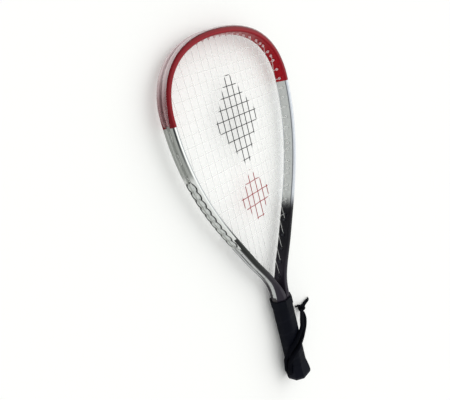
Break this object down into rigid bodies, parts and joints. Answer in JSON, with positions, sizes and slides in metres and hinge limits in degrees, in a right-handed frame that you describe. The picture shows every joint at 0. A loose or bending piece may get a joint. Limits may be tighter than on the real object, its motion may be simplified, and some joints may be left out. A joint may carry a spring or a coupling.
{
  "type": "racquetball racket",
  "caption": "Racquetball racket with a strung teardrop head, clear head guard, octagonal grip, flared butt cap and knotted wrist cord.",
  "frame": {"origin": "under the middle of the racket, on the surface that it lies on", "axes": "+X to the racket's right, +Y from the butt to the tip, +Z out of the front face, which is up as it lies"},
  "size_m": [0.2726, 0.56, 0.0384],
  "materials": {
    "frame_paint": "metallic lacquer over carbon composite, red round the tip, silver below it and black at the throat",
    "clear_nylon": "milky translucent moulded nylon",
    "string_nylon": "smooth translucent nylon string",
    "grip_polyurethane": "soft dark navy synthetic leather, satin",
    "collar_rubber": "matte black rubber",
    "cap_rubber": "matte dark navy rubber",
    "cord_braid": "black braided cord"
  },
  "bodies": {
    "root": {"frame": "frame_paint", "head_guard": "clear_nylon", "grommet_strip_left": "clear_nylon", "grommet_strip_right": "clear_nylon", "main_string": "string_nylon", "cross_string": "string_nylon", "grip_wrap": "grip_polyurethane", "grip_collar": "collar_rubber", "butt_cap": "cap_rubber", "wrist_cord_upper": "cord_braid", "wrist_cord_lower": "cord_braid", "cord_knot": "cord_braid", "cord_tail_long": "cord_braid", "cord_tail_short": "cord_braid"}
  },
  "joints": []
}
